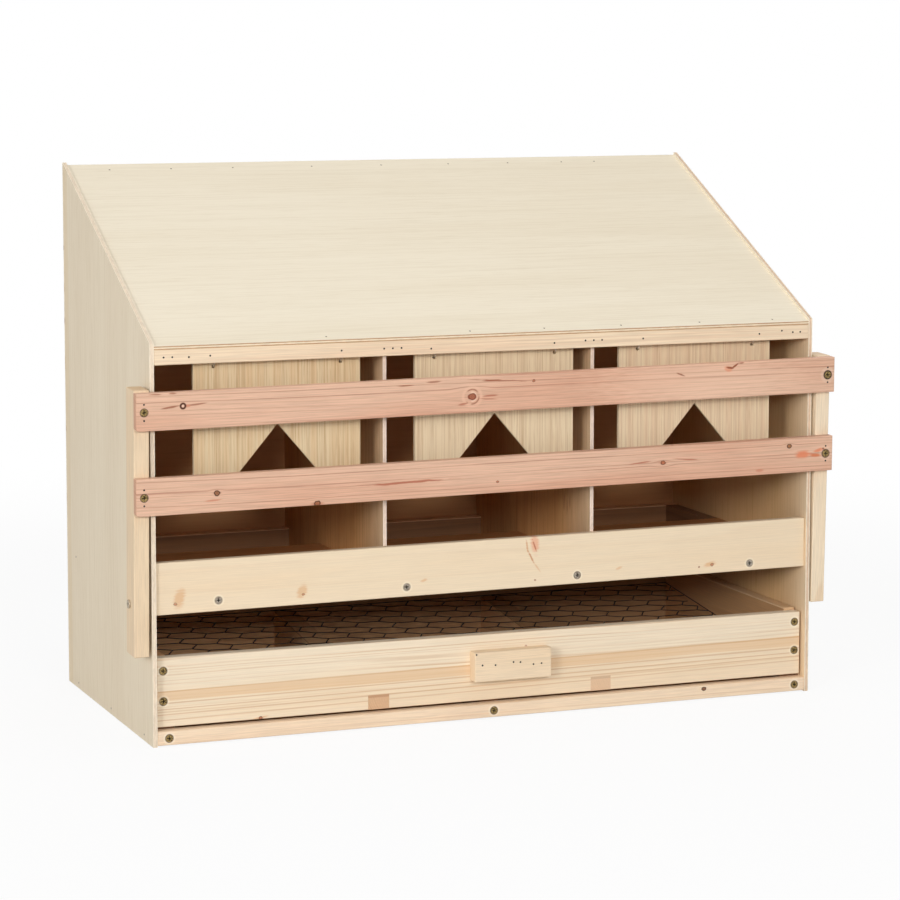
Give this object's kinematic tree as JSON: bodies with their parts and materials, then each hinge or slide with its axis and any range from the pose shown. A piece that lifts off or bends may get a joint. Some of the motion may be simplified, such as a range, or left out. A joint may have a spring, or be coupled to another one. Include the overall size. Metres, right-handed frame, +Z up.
{
  "type": "chicken nesting box",
  "caption": "Wooden chicken nesting box with a sloping roof, hanging nest flaps, a fold-down slatted perch and a pull-out egg drawer with a wire-net floor.",
  "frame": {"origin": "on the ground under the middle of the carcass, on the underside of the base panel", "axes": "+Z up, -Y out of the front with the flaps and drawer, +X to the right seen from the front"},
  "size_m": [0.7222, 0.3338, 0.532],
  "materials": {
    "panel_ply": "bare pale pine plywood, matt",
    "inner_ply": "bare plywood, matt",
    "cream_pine": "bare planed pine, matt",
    "batten_pine": "bare sawn pine, matt",
    "salmon_pine": "bare planed fir, pinkish, matt",
    "flap_pine": "bare pine, yellowish with striped grain, matt",
    "yellow_zinc": "yellow zinc-plated steel, dull",
    "grey_zinc": "zinc-plated steel, dull",
    "nail_steel": "bare steel nail, dull",
    "hook_wire": "zinc-plated steel wire",
    "black_wire": "black coated wire netting"
  },
  "bodies": {
    "carcass": {"side_panel_left": "panel_ply", "side_panel_right": "panel_ply", "roof_panel": "panel_ply", "back_panel": "panel_ply", "base_panel": "inner_ply", "nest_floor": "inner_ply", "divider_left": "inner_ply", "divider_right": "inner_ply", "header_rail": "cream_pine", "lip_board": "cream_pine", "plinth_rail": "cream_pine", "divider_block_left": "batten_pine", "divider_block_right": "batten_pine", "floor_batten": "batten_pine", "floor_ledger_left": "batten_pine", "floor_ledger_right": "batten_pine", "back_rail": "batten_pine", "rear_base_rail": "batten_pine", "runner_left": "batten_pine", "runner_middle": "batten_pine", "runner_right": "batten_pine", "roof_rear_batten": "batten_pine", "roof_cleat_left": "batten_pine", "roof_cleat_right": "batten_pine", "plinth_screws": "yellow_zinc", "lip_screws": "grey_zinc", "pivot_screws": "grey_zinc", "pivot_spacers": "grey_zinc", "rail_nails": "nail_steel", "roof_nails": "nail_steel", "side_nails": "nail_steel", "back_nails": "nail_steel", "flap_hooks": "hook_wire"},
    "perch": {"perch_arm_left": "cream_pine", "perch_arm_right": "cream_pine", "upper_slat": "salmon_pine", "lower_slat": "salmon_pine", "slat_screws": "yellow_zinc", "slat_pins": "nail_steel"},
    "flap_left": {"flap_left": "flap_pine"},
    "flap_middle": {"flap_middle": "flap_pine"},
    "flap_right": {"flap_right": "flap_pine"},
    "drawer": {"drawer_front": "cream_pine", "drawer_side_left": "cream_pine", "drawer_side_right": "cream_pine", "drawer_back": "cream_pine", "drawer_wedge_left": "batten_pine", "drawer_wedge_right": "batten_pine", "drawer_net": "black_wire", "drawer_handle": "cream_pine", "handle_nails": "nail_steel", "drawer_screws": "yellow_zinc"}
  },
  "joints": [
    {"name": "perch_fold", "type": "hinge", "parent": "carcass", "child": "perch", "pos_m": [0, -0.143, 0.1345], "axis": [1, 0, 0], "range_deg": [-1.5, 88.25]},
    {"name": "flap_left_swing", "type": "hinge", "parent": "carcass", "child": "flap_left", "pos_m": [0, -0.139, 0.35917], "axis": [1, 0, 0], "range_deg": [-8, 75]},
    {"name": "flap_middle_swing", "type": "hinge", "parent": "carcass", "child": "flap_middle", "pos_m": [0, -0.139, 0.35917], "axis": [1, 0, 0], "range_deg": [-8, 75]},
    {"name": "flap_right_swing", "type": "hinge", "parent": "carcass", "child": "flap_right", "pos_m": [0, -0.139, 0.35917], "axis": [1, 0, 0], "range_deg": [-8, 75]},
    {"name": "drawer_slide", "type": "slide", "parent": "carcass", "child": "drawer", "axis": [0, -1, 0], "range_m": [0, 0.22]}
  ]
}
